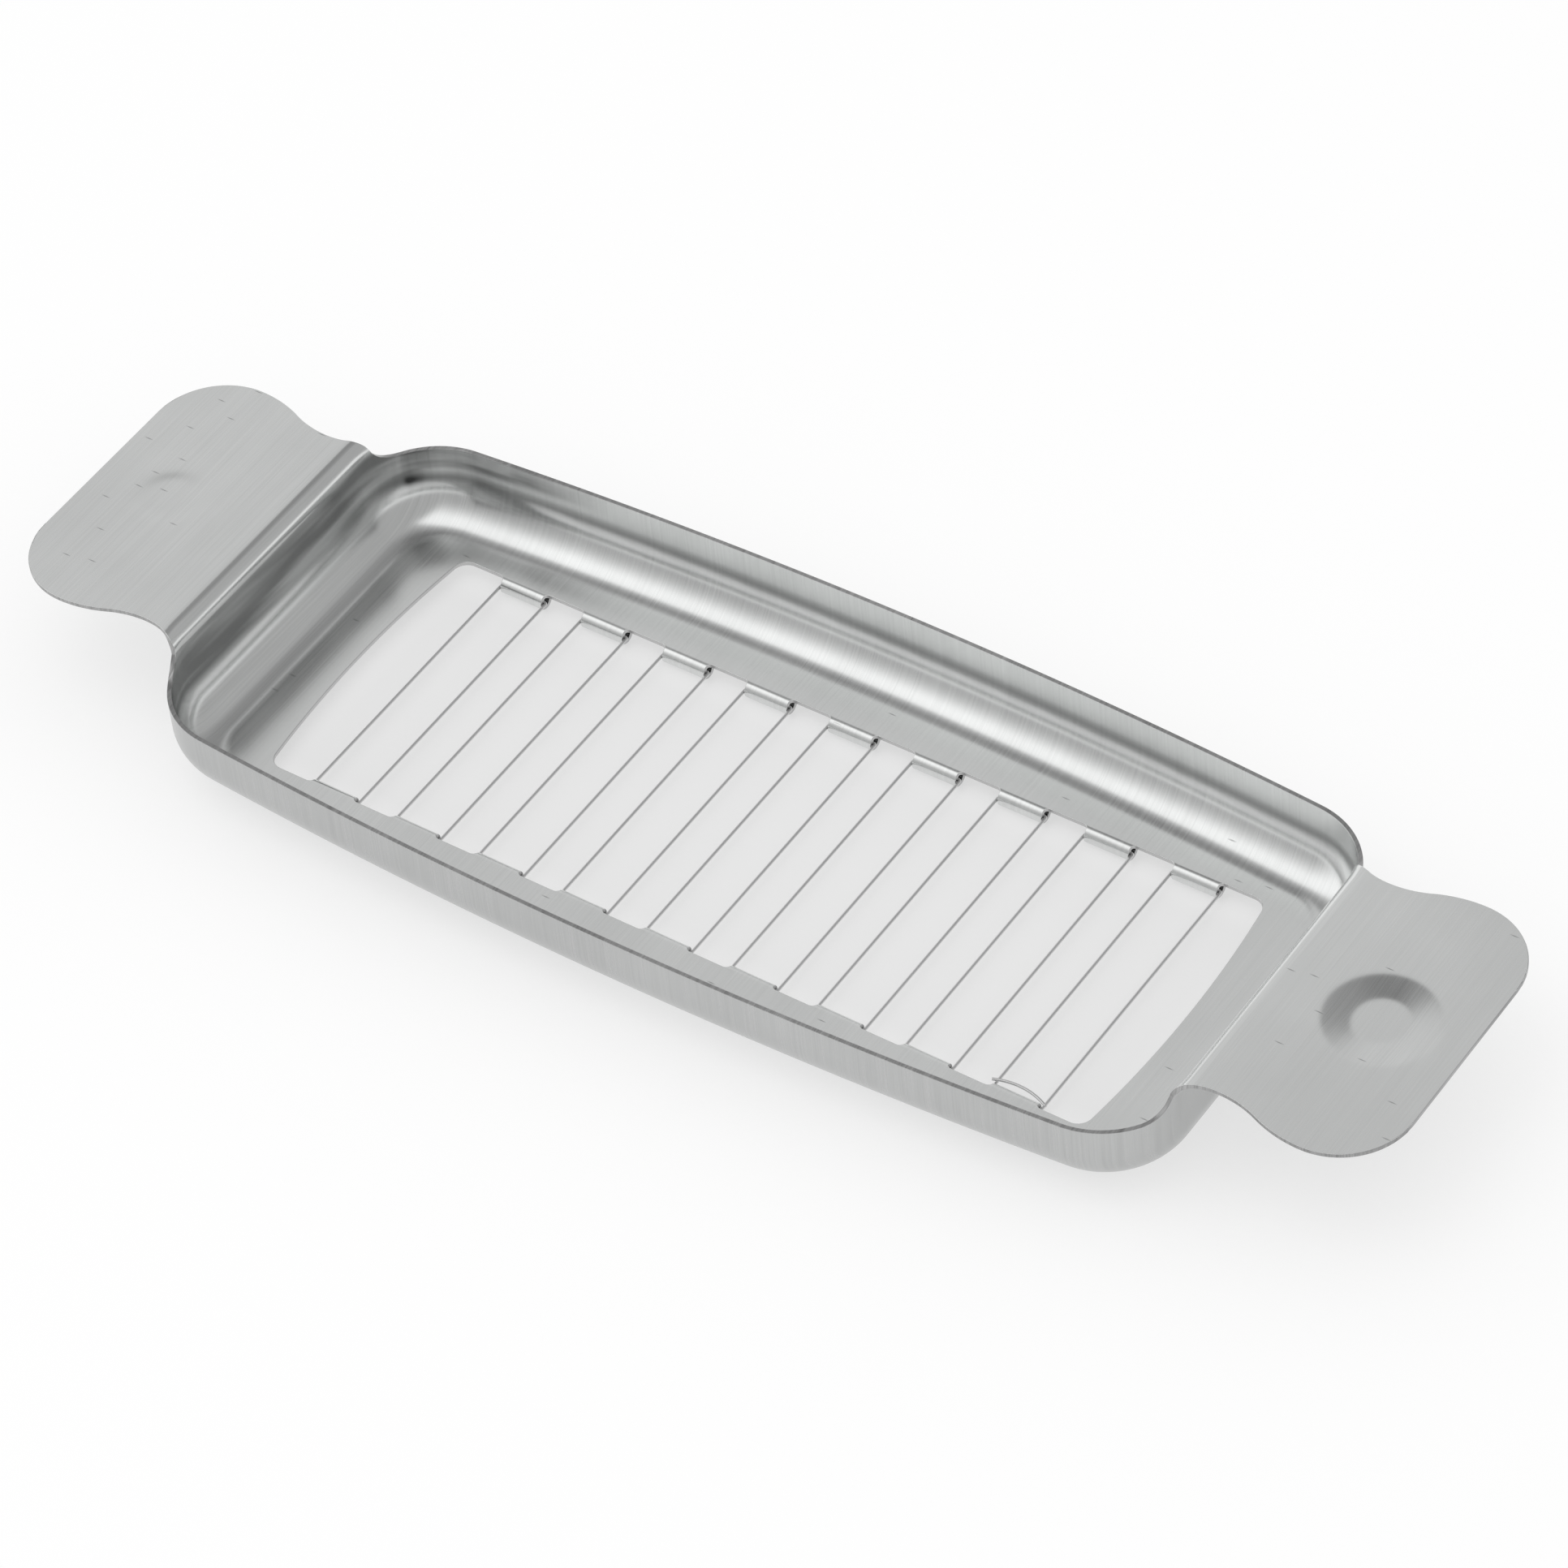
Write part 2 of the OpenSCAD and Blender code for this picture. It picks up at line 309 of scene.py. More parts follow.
    def outline_point(self, station: Station, offset: float, z: float) -> Vector:
        """Place of a station on the plan of the flat floor, moved outwards.

        Args:
            station: a place round the plan.
            offset: distance outwards from the flat's edge.
            z: height of the point.

        Returns:
            The point in millimetres.
        """
        if station.kind is Coord.END:
            x, y = self.flat_length + offset, station.value
        elif station.kind is Coord.CORNER:
            angle = math.radians(station.value)
            radius = self.flat_corner + offset
            x = self.corner_x + radius * math.cos(angle)
            y = self.corner_y + radius * math.sin(angle)
        else:
            angle = math.asin(station.value / (self.bow_radius - self.flat_corner))
            radius = self.bow_radius + offset
            x = radius * math.sin(angle)
            y = self.bow_y + radius * math.cos(angle)
            y -= self.bow_ease * (1.0 - (station.value / self.corner_x) ** 2)
        return Vector((x * station.sx, y * station.sy, z))

    def wall_y(self, station: Station) -> float:
        """Distance from the long axis on the end wall's inner face.

        Args:
            station: a place on an end or corner of the plan.

        Returns:
            The distance in millimetres.
        """
        if station.kind is Coord.END:
            return station.value
        return self.corner_y + self.wall_reach * math.sin(math.radians(station.value))

    def is_middle(self, station: Station) -> bool:
        """Whether the sheet runs on over the bend into the grip plate.

        Args:
            station: a place round the plan.

        Returns:
            True on the end and on the corner as far as the junction with the sweep.
        """
        if station.kind is Coord.END:
            return True
        return station.kind is Coord.CORNER and station.value <= self.junction + self.turn_slack

    def trim_width(self, z: float) -> float:
        """Half the width to which the sweep trims the end wall.

        Args:
            z: height between the rim and the bend's top.

        Returns:
            The half width at that height.
        """
        below = max(0.0, self.rim_z + self.sweep_radius - z)
        return self.wall_half + self.sweep_radius - math.sqrt(self.sweep_radius ** 2 - below ** 2)

    def upper_point(self, station: Station, length: float) -> Vector:
        """Place on the end wall and bend, by the length climbed above the fillet.

        Args:
            station: a place on the end or corner of the plan.
            length: distance up the sheet from the height where trimming starts.

        Returns:
            The point in millimetres.
        """
        straight = self.bend_z - self.upper_start
        if length <= straight:
            radius, z = self.wall_reach, self.upper_start + length
        else:
            angle = (length - straight) / self.bend_radius
            radius = self.wall_reach + self.bend_radius * (1.0 - math.cos(angle))
            z = self.bend_z + self.bend_radius * math.sin(angle)
        y = self.wall_y(station)
        if self.is_middle(station) and z > self.junction_z:
            width = self.trim_width(z)
            if z > self.bend_z:
                blend = self.width_blend
                width = soft_min(width + blend, self.handle_width(self.corner_x + radius) + blend, blend)
            y *= width / self.junction_y
        past = max(0.0, y - self.corner_y)
        x = self.corner_x + math.sqrt(radius ** 2 - past ** 2)
        return Vector((x * station.sx, y * station.sy, z))

    def top_length(self, station: Station) -> float:
        """How far the sheet climbs above the start of trimming in the upper rows.

        Args:
            station: a place round the plan.

        Returns:
            The length up to its trimmed edge, or up to the junction where the plate follows.
        """
        y = self.wall_y(station) if station.kind is not Coord.LONG else math.inf
        reach = self.wall_half + self.sweep_radius - y
        if self.is_middle(station):
            top = self.junction_z
        elif reach <= 0.0:
            top = self.rim_z
        else:
            top = self.rim_z + self.sweep_radius - math.sqrt(self.sweep_radius ** 2 - reach ** 2)
        return self.length_at(top)

    def length_at(self, z: float) -> float:
        """The length of sheet above the start of trimming.

        Args:
            z: height on the end wall or bend.

        Returns:
            The length climbed at that height.
        """
        if z <= self.bend_z:
            return z - self.upper_start
        climb = math.asin(min(1.0, (z - self.bend_z) / self.bend_radius))
        return self.bend_z - self.upper_start + climb * self.bend_radius

    def plan_stations(self) -> None:
        """Fills the list of stations once round the plan."""
        rows = self.rows
        ends = spread(0.0, rows.end_middle, rows.end_middle_columns)
        ends += spread(rows.end_middle, self.corner_y, rows.end_outer_columns)[1:]
        sweep = []
        for step in range(1, rows.sweep_columns + 1):
            turn = math.radians(self.sweep_turn * (1.0 - step / rows.sweep_columns))
            y = self.wall_half + self.sweep_radius * (1.0 - math.sin(turn))
            sweep.append(math.degrees(math.asin((y - self.corner_y) / self.wall_reach)))
        turns = spread(0.0, self.junction, rows.junction_columns)[1:] + sweep
        turns += spread(sweep[-1], self.seam, rows.corner_columns)[1:]
        runs = [value for value in reversed(self.long_runs()) if value < self.corner_x - self.slack]
        quarter = [(Coord.END, value) for value in ends]
        quarter += [(Coord.CORNER, value) for value in turns]
        quarter += [(Coord.LONG, value) for value in runs]
        first = [Station(kind, value, 1.0, 1.0) for kind, value in quarter]
        second = [Station(kind, value, -1.0, 1.0) for kind, value in reversed(quarter)][1:]
        third = [Station(kind, value, -1.0, -1.0) for kind, value in quarter][1:]
        fourth = [Station(kind, value, 1.0, -1.0) for kind, value in reversed(quarter)][1:-1]
        self.stations = first + second + third + fourth

    def long_runs(self) -> list[float]:
        """Works out the stations along half a long side.

        Returns:
            Their distances from the middle. Every edge of a tab's root is one of them.
        """
        rows = self.rows
        runs = [0.0]
        half_root = self.tab_half + self.tab_root
        for index in range(self.loops // 2 + 1):
            centre = index * self.loop_pitch
            start = max(0.0, centre - half_root)
            if start > 0.0:
                runs += spread(runs[-1], start, rows.gap_columns)[1:]
            columns = rows.tab_columns if start else rows.tab_columns // 2
            runs += spread(start, centre + half_root, columns)[1:]
        runs += spread(runs[-1], self.corner_x, rows.side_end_columns)[1:]
        return runs

    def extrude_ring(self, bm: bmesh.types.BMesh, ring: Verts, closed: bool,
                     places: list[Vector]) -> Verts:
        """Grows one row of faces from a chain of vertices.

        Args:
            bm: the mesh that grows.
            ring: the chain's vertices in order.
            closed: whether the chain's last vertex joins its first.
            places: where the new vertices go, in millimetres.

        Returns:
            The new chain, in the same order.
        """
        pairs = list(zip(ring, ring[1:])) + ([(ring[-1], ring[0])] if closed else [])
        edges = [bm.edges.get(pair) or bm.edges.new(pair) for pair in pairs]
        made = bmesh.ops.extrude_edge_only(bm, edges=edges)
        fresh = {item for item in made["geom"] if isinstance(item, bmesh.types.BMVert)}
        chain = []
        for vert, place in zip(ring, places):
            partner = next(e.other_vert(vert) for e in vert.link_edges if e.other_vert(vert) in fresh)
            partner.co = place * MM
            chain.append(partner)
        return chain

    def grow_floor(self, bm: bmesh.types.BMesh) -> tuple[Verts, Verts]:
        """Grows the floor, fillet, walls and rim outwards from the window.

        Args:
            bm: the mesh that grows.

        Returns:
            The window's ring and the uppermost ring.
        """
        rows = self.rows
        window = bmesh.ops.create_circle(bm, segments=len(self.stations), radius=1.0)["verts"]
        for vert, station in zip(window, self.stations):
            vert.co = self.window_point(station) * MM
        ring = list(window)
        for share in rows.floor_shares:
            places = [self.window_point(s).lerp(self.outline_point(s, 0.0, self.floor_z), share)
                      for s in self.stations]
            ring = self.extrude_ring(bm, ring, True, places)
        for step in range(1, rows.fillet_rows + 1):
            angle = math.radians(90.0 * step / rows.fillet_rows)
            offset = self.fillet * math.sin(angle)
            z = self.floor_z + self.fillet * (1.0 - math.cos(angle))
            places = [self.outline_point(s, offset, z) for s in self.stations]
            ring = self.extrude_ring(bm, ring, True, places)
        for z in (*rows.wall_heights, self.upper_start):
            places = [self.outline_point(s, self.fillet, z) for s in self.stations]
            ring = self.extrude_ring(bm, ring, True, places)
        for step in range(1, rows.upper_rows + 1):
            places = []
            for station in self.stations:
                length = self.top_length(station) * step / rows.upper_rows
                if station.kind is Coord.LONG:
                    places.append(self.outline_point(station, self.fillet, self.upper_start + length))
                else:
                    places.append(self.upper_point(station, length))
            ring = self.extrude_ring(bm, ring, True, places)
        return list(window), ring

    def grow_handle(self, bm: bmesh.types.BMesh, ring: Verts, side: Side) -> None:
        """Grows the rest of one bend and its grip plate from the uppermost ring.

        Args:
            bm: the mesh that grows.
            ring: the uppermost ring round the tray.
            side: which end.
        """
        middle = [(s, v) for s, v in zip(self.stations, ring)
                  if self.is_middle(s) and s.sx == side.value]
        middle.sort(key=lambda pair: pair[0].sy * self.wall_y(pair[0]))
        stations = [pair[0] for pair in middle]
        chain = [pair[1] for pair in middle]
        rows = self.rows
        full = self.bend_z - self.upper_start + self.bend_radius * math.pi / 2.0
        sweep_top = self.rim_z + self.sweep_radius
        lengths = [self.length_at(sweep_top - self.sweep_radius * math.cos(math.radians(turn)))
                   for turn in spread(self.sweep_turn, 90.0, rows.trim_rows)[1:]]
        lengths += spread(lengths[-1], full, rows.bend_rows)[1:]
        for length in lengths:
            places = [self.upper_point(s, length) for s in stations]
            chain = self.extrude_ring(bm, chain, False, places)
        for x in self.plate_runs():
            places = [self.plate_point(s, x, side) for s in stations]
            chain = self.extrude_ring(bm, chain, False, places)

    def plate_runs(self) -> list[float]:
        """Works out the rows along a grip plate.

        Returns:
            Their distances from the middle of the tray, out to the plate's tip.
        """
        rows = self.rows
        runs = spread(self.bend_x, rows.plate_fine_x, rows.plate_start_rows)[1:]
        runs += spread(rows.plate_fine_x, self.handle_corner_x, rows.plate_rows)[1:]
        turns = spread(0.0, rows.tip_turn, rows.tip_rows)[1:] + list(rows.tip_turns)
        return runs + [self.handle_corner_x + self.handle_corner * math.sin(math.radians(turn))
                       for turn in turns]

    def plate_point(self, station: Station, x: float, side: Side) -> Vector:
        """Place on a grip plate. The first rows lag behind where the end wall's corners curve.

        Args:
            station: a place on the end or corner of the plan.
            x: the row's distance from the middle of the tray.
            side: which end.

        Returns:
            The point in millimetres.
        """
        share = self.wall_y(station) / self.junction_y
        y = share * self.handle_width(x) * station.sy
        along = x
        if x < self.lag_end:
            reach = self.bend_x - self.corner_x
            past = max(0.0, share * self.handle_width(self.bend_x) - self.corner_y)
            lag = reach - math.sqrt(reach ** 2 - past ** 2)
            along -= lag * (1.0 - smoothstep(self.bend_x, self.lag_end, x))
        drop = self.dimple_drop(along * side.value, y)
        return Vector((along * side.value, y, self.handle_z - drop))

    def tab_width(self, length: float) -> float:
        """Half the width of a tab, root fillets included.

        Args:
            length: distance rolled from its root.

        Returns:
            The half width there.
        """
        if length >= self.tab_root:
            return self.tab_half
        rest = self.tab_root - length
        return self.tab_half + self.tab_root - math.sqrt(self.tab_root ** 2 - rest ** 2)

    def grow_tabs(self, bm: bmesh.types.BMesh, window: Verts) -> None:
        """Rolls every tab into its barrel, from the window's long edges.

        Args:
            bm: the mesh that grows.
            window: the ring of vertices round the window.
        """
        rows = self.rows
        half_root = self.tab_half + self.tab_root
        rolled = [self.tab_root * (1.0 - math.cos(math.radians(rows.root_turn * step)))
                  for step in range(1, rows.root_rows + 1)]
        total = self.barrel * math.radians(self.tab_roll)
        rolled += spread(rolled[-1], total, rows.barrel_rows)[1:]
        for index in range(self.loops):
            centre = (index - (self.loops - 1) / 2.0) * self.loop_pitch
            for across in (1.0, -1.0):
                picked = [(v.co.x / MM, v) for v, s in zip(window, self.stations)
                          if s.kind is Coord.LONG and s.sy == across
                          and abs(v.co.x / MM - centre) < half_root + self.slack]
                picked.sort(key=lambda pair: pair[0])
                chain = [pair[1] for pair in picked]
                shares = [(pair[0] - centre) / half_root for pair in picked]
                for length in rolled:
                    angle = length / self.barrel
                    y = self.window_y - self.barrel * math.sin(angle)
                    z = self.barrel + self.barrel * math.cos(angle)
                    width = self.tab_width(length)
                    places = [Vector((centre + share * width, y * across, z)) for share in shares]
                    chain = self.extrude_ring(bm, chain, False, places)

    def build(self) -> bpy.types.Object:
        """Builds the whole shell.

        Returns:
            The tray's object, with its solidify and bevel modifiers but no materials.
        """
        self.plan_stations()
        bm = bmesh.new()
        window, top = self.grow_floor(bm)
        for side in Side:
            self.grow_handle(bm, top, side)
        self.grow_tabs(bm, window)
        bmesh.ops.remove_doubles(bm, verts=bm.verts, dist=self.merge_gap * MM)
        self.face_up(bm)
        low = (self.floor_z + self.edge_bevel) * MM
        for face in bm.faces:
            face.smooth = True
            at_floor = face.calc_center_median().z < low
            face.material_index = SheetSlot.FLOOR if at_floor else SheetSlot.WALL
        mesh = bpy.data.meshes.new("tray_shell")
        bm.to_mesh(mesh)
        bm.free()
        obj = bpy.data.objects.new("tray_shell", mesh)
        bpy.context.scene.collection.objects.link(obj)
        self.thicken(obj)
        return obj

    def face_up(self, bm: bmesh.types.BMesh) -> None:
        """Turns every face the same way, with the floor's faces up.

        Args:
            bm: the finished mesh of the sheet's upper face.
        """
        bmesh.ops.recalc_face_normals(bm, faces=bm.faces)
        floor = min((face for face in bm.faces if abs(face.normal.z) > self.level_normal),
                    key=lambda face: abs(face.calc_center_median().z - self.floor_z * MM))
        if floor.normal.z < 0.0:
            bmesh.ops.reverse_faces(bm, faces=bm.faces)

    def thicken(self, obj: bpy.types.Object) -> None:
        """Gives the sheet its thickness and breaks its cut edges.

        Args:
            obj: the tray's object.
        """
        solid = obj.modifiers.new("sheet", "SOLIDIFY")
        solid.thickness = self.thickness * MM
        solid.offset = -1.0
        solid.material_offset_rim = SheetSlot.WALL_EDGE
        solid.material_offset = SheetSlot.WALL_BACK
        bevel = obj.modifiers.new("broken_edges", "BEVEL")
        bevel.width = self.edge_bevel * MM
        bevel.segments = self.bevel_segments
        bevel.limit_method = "ANGLE"
        bevel.angle_limit = math.radians(self.bevel_angle)
        bevel.use_clamp_overlap = False
        bevel.loop_slide = False
        bevel.harden_normals = True

    def dress(self, obj: bpy.types.Object, finishes: dict[SheetSlot, bpy.types.Material]) -> None:
        """Fills the tray's material slots in their order.

        Args:
            obj: the tray's object.
            finishes: the finish of each slot.
        """
        for slot in SheetSlot:
            obj.data.materials.append(finishes[slot])


@dataclass(frozen=True)
class NodeBuilder:
    """Short calls for making and joining shader nodes in one tree."""

    tree: bpy.types.NodeTree

    def add(self, kind: str, **values: object) -> bpy.types.Node:
        """Adds a node and sets its properties and sockets.

        Args:
            kind: the node's type name.
            values: properties by name, or sockets by name with underscores for blanks.

        Returns:
            The new node.
        """
        node = self.tree.nodes.new(kind)
        for name, value in values.items():
            if hasattr(node, name):
                setattr(node, name, value)
            else:
                node.inputs[name.replace("_", " ")].default_value = value
        return node

    def join(self, source: Socket, target: Socket) -> None:
        """Joins an output to an input."""
        self.tree.links.new(source, target)

    def math(self, operation: str, *values: object) -> Socket:
        """Adds a math node.

        Args:
            operation: the node's operation.
            values: its inputs in order, each a socket or a number.

        Returns:
            The node's output.
        """
        node = self.add("ShaderNodeMath", operation=operation)
        for index, value in enumerate(values):
            if isinstance(value, Socket):
                self.join(value, node.inputs[index])
            else:
                node.inputs[index].default_value = value
        return node.outputs[0]

    def axes(self, vector: Socket) -> bpy.types.NodeOutputs:
        """Splits a vector.

        Args:
            vector: the vector's socket.

        Returns:
            The outputs X, Y and Z by name.
        """
        node = self.add("ShaderNodeSeparateXYZ")
        self.join(vector, node.inputs[0])
        return node.outputs

    def scaled(self, vector: object, factor: object) -> Socket:
        """Scales a vector.

        Args:
            vector: a socket, or three numbers.
            factor: a socket.

        Returns:
            The scaled vector.
        """
        node = self.add("ShaderNodeVectorMath", operation="SCALE")
        if isinstance(vector, Socket):
            self.join(vector, node.inputs[0])
        else:
            node.inputs[0].default_value = vector
        self.join(factor, node.inputs["Scale"])
        return node.outputs[0]

    def mapped(self, vector: Socket, scale: Triple, rotation: Triple = (0.0, 0.0, 0.0)) -> Socket:
        """Scales and turns the vector of a pattern.

        Args:
            vector: the vector's socket.
            scale: how often the pattern repeats on each axis, per metre.
            rotation: how far it is turned on each axis, in radians.

        Returns:
            The pattern's own vector.
        """
        node = self.add("ShaderNodeMapping", Rotation=rotation, Scale=scale)
        self.join(vector, node.inputs["Vector"])
        return node.outputs[0]

    def noise(self, vector: Socket, **values: float) -> Socket:
        """Adds a noise texture.

        Args:
            vector: the vector's socket.
            values: its other inputs by name.

        Returns:
            The pattern's level.
        """
        node = self.add("ShaderNodeTexNoise", **values)
        self.join(vector, node.inputs["Vector"])
        return node.outputs["Fac"]

    def ramp(self, source: Socket, start: float, end: float) -> Socket:
        """Adds a smooth climb, which may also run downwards.

        Args:
            source: the level to read.
            start: where the climb is 0.
            end: where the climb is 1.

        Returns:
            The climb's output.
        """
        node = self.add("ShaderNodeMapRange", interpolation_type="SMOOTHSTEP",
                        From_Min=start, From_Max=end)
        self.join(source, node.inputs["Value"])
        return node.outputs["Result"]

    def band(self, source: Socket, edges: Edges) -> Socket:
        """Adds a soft-edged band.

        Args:
            source: the level to read.
            edges: the low edge and its blur, the high edge and its blur.

        Returns:
            A level of 1 inside the band and 0 outside.
        """
        low, low_blur, high, high_blur = edges
        rise = self.ramp(source, low - low_blur, low + low_blur)
        fall = self.ramp(source, high + high_blur, high - high_blur)
        return self.math("MULTIPLY", rise, fall)

    def switch(self, test: Socket, level: Socket, other: float) -> Socket:
        """Puts another level in place where a test holds.

        Args:
            test: the socket that is 1 where the other level counts.
            level: the level elsewhere.
            other: the other level.

        Returns:
            The chosen level.
        """
        mix = self.add("ShaderNodeMix", data_type="FLOAT")
        self.join(test, mix.inputs[0])
        self.join(level, mix.inputs[2])
        mix.inputs[3].default_value = other
        return mix.outputs[0]


def start_group(name: str, inputs: dict[str, str], outputs: tuple[str, ...]) -> bpy.types.NodeTree:
    """Starts a shader node group.

    Args:
        name: the group's name.
        inputs: the type of each input socket by its name.
        outputs: the names of the outputs, all of them levels.

    Returns:
        The empty tree with its sockets.
    """
    tree = bpy.data.node_groups.new(name, "ShaderNodeTree")
    for socket, kind in inputs.items():
        tree.interface.new_socket(name=socket, in_out="INPUT", socket_type=kind)
    for socket in outputs:
        tree.interface.new_socket(name=socket, in_out="OUTPUT", socket_type="NodeSocketFloat")
    return tree


@dataclass(frozen=True)
class StreakLayer:
    """One layer of brushed lines: how fine it is on each axis and its share of the whole."""

    scale: Triple
    share: float


@dataclass(frozen=True)
class GrainGroup:
    """Node group for brushed lines across the sheet, with cloudy patches and fine nicks.

    Scales are repeats per metre and turns are radians. A nick is the core of a cell of a stretched
    pattern, and nick_rarity is the share of cells that stay without one.
    """

    name: str = "Brushed grain"
    layers: tuple[StreakLayer, ...] = (
        StreakLayer((5200.0, 60.0, 60.0), 0.5),
        StreakLayer((1900.0, 34.0, 34.0), 0.32),
        StreakLayer((520.0, 14.0, 14.0), 0.18),
    )
    streak_detail: float = 2.0
    streak_roughness: float = 0.6
    cloud_scale: float = 42.0
    cloud_detail: float = 3.0
    cloud_roughness: float = 0.55
    nick_turn: Triple = (0.0, 0.0, 0.5)
    nick_scale: Triple = (110.0, 700.0, 110.0)
    nick_rarity: float = 0.87
    nick_rim: float = 0.085
    nick_core: float = 0.02

    def build(self) -> bpy.types.NodeTree:
        """Builds the group once.

        Returns:
            The node tree, with its sockets made.
        """
        tree = bpy.data.node_groups.get(self.name)
        if tree is not None:
            return tree
        tree = start_group(self.name, {"Vector": "NodeSocketVector", "Fineness": "NodeSocketFloat"},
                           ("Streaks", "Clouds", "Scratches"))
        nodes = NodeBuilder(tree)
        inlet = nodes.add("NodeGroupInput")
        outlet = nodes.add("NodeGroupOutput")
        vector = nodes.scaled(inlet.outputs["Vector"], inlet.outputs["Fineness"])
        streaks = 0.0
        for layer in self.layers:
            level = nodes.noise(nodes.mapped(vector, layer.scale), Scale=1.0,
                                Detail=self.streak_detail, Roughness=self.streak_roughness)
            streaks = nodes.math("MULTIPLY_ADD", level, layer.share, streaks)
        nodes.join(streaks, outlet.inputs["Streaks"])
        clouds = nodes.noise(vector, Scale=self.cloud_scale, Detail=self.cloud_detail,
                             Roughness=self.cloud_roughness)
        nodes.join(clouds, outlet.inputs["Clouds"])
        cells = nodes.add("ShaderNodeTexVoronoi", voronoi_dimensions="2D", Scale=1.0)
        nodes.join(nodes.mapped(inlet.outputs["Vector"], self.nick_scale, self.nick_turn),
                   cells.inputs["Vector"])
        chosen = nodes.math("GREATER_THAN", nodes.axes(cells.outputs["Color"])["X"], self.nick_rarity)
        core = nodes.add("ShaderNodeMapRange", From_Min=self.nick_rim, From_Max=self.nick_core)
        nodes.join(cells.outputs["Distance"], core.inputs["Value"])
        nicks = nodes.math("MULTIPLY", core.outputs["Result"], chosen)
        nodes.join(nicks, outlet.inputs["Scratches"])
        return tree


@dataclass(frozen=True)
class PaintedWallReflections:
    """Node group for painted dark reflections inside the walls.

    The left end wall and the far wall's left end carry slanting dark streaks, and the far wall a
    soft dark line where its fillet ends: all of them painted dark reflections and shade. All keep to
    the inner faces by their own normal: facing holds its inward share where the painted darkening
    begins and where it is full. Places and blurs are millimetres, and depths are shares of the
    steel's brightness, capped at most.
    """

    name: str = "Painted wall reflections"
    end_x: float = -69.0
    end_blend: float = 2.7
    side_y: float = 24.0
    facing: tuple[float, float] = (0.1, 0.7)
    soft: float = 0.9
    foot_z: tuple[float, float] = (7.3, 8.8)
    foot_depth: float = 0.5
    streak_z: tuple[float, float] = (7.6, 15.6)
    streak_depth: float = 0.6
    streak_turn: Triple = (0.16, 0.0, 0.0)
    streak_scale: Triple = (60.0, 34.0, 330.0)
    streak_levels: tuple[float, float] = (0.3, 0.68)
    corner_x: tuple[float, float] = (-40.0, -64.0)
    corner_z: tuple[float, float] = (10.0, 14.5)
    corner_depth: float = 0.3
    most: float = 0.9

    def heights(self, nodes: NodeBuilder, z: Socket, edges: tuple[float, float],
                mask: Socket) -> Socket:
        """Cuts a mask to a soft band of heights.

        Args:
            nodes: the builder of the group's tree.
            z: the height.
            edges: the band's lowest and highest height.
            mask: the level to cut.

        Returns:
            The mask inside the band and 0 outside.
        """
        low, high = edges
        band = nodes.band(z, (low * MM, self.soft * MM, high * MM, self.soft * MM))
        return nodes.math("MULTIPLY", band, mask)

    def streaks(self, nodes: NodeBuilder, vector: Socket) -> Socket:
        """Adds the slanting streaks.

        Args:
            nodes: the builder of the group's tree.
            vector: the place on the piece.

        Returns:
            A level of 1 in the middle of a streak and 0 between them.
        """
        pattern = nodes.mapped(vector, self.streak_scale, self.streak_turn)
        level = nodes.noise(pattern, Scale=1.0, Detail=2.0, Roughness=0.5, Distortion=0.25)
        return nodes.ramp(level, *self.streak_levels)

    def build(self) -> bpy.types.NodeTree:
        """Builds the group once.

        Returns:
            The node tree, whose output is how much of the steel's brightness the painted dark
            reflections take off.
        """
        tree = bpy.data.node_groups.get(self.name)
        if tree is not None:
            return tree
        tree = start_group(self.name, {"Vector": "NodeSocketVector", "Normal": "NodeSocketVector"},
                           ("Loss",))
        nodes = NodeBuilder(tree)
        inlet = nodes.add("NodeGroupInput")
        outlet = nodes.add("NodeGroupOutput")
        place = nodes.axes(inlet.outputs["Vector"])
        normal = nodes.axes(inlet.outputs["Normal"])
        aslant, square = self.facing
        far_wall = nodes.math(
            "MULTIPLY", nodes.ramp(place["Y"], self.side_y * MM, (self.side_y + self.soft) * MM),
            nodes.ramp(normal["Y"], -aslant, -square))
        end_wall = nodes.math(
            "MULTIPLY", nodes.ramp(place["X"], self.end_x * MM, (self.end_x - self.end_blend) * MM),
            nodes.ramp(normal["X"], aslant, square))
        corner = nodes.math(
            "MULTIPLY", nodes.ramp(place["X"], self.corner_x[0] * MM, self.corner_x[1] * MM), far_wall)
        foot = self.heights(nodes, place["Z"], self.foot_z, far_wall)
        under_rim = self.heights(nodes, place["Z"], self.corner_z, corner)
        wall = nodes.math("MAXIMUM", self.heights(nodes, place["Z"], self.streak_z, end_wall), under_rim)
        streaks = nodes.math("MULTIPLY", self.streaks(nodes, inlet.outputs["Vector"]), self.streak_depth)
        line = nodes.math("MULTIPLY", foot, self.foot_depth)
        line = nodes.math("MULTIPLY_ADD", under_rim, self.corner_depth, line)
        loss = nodes.math("MULTIPLY_ADD", streaks, wall, line)
        nodes.join(nodes.math("MINIMUM", loss, self.most), outlet.inputs["Loss"])
        return tree


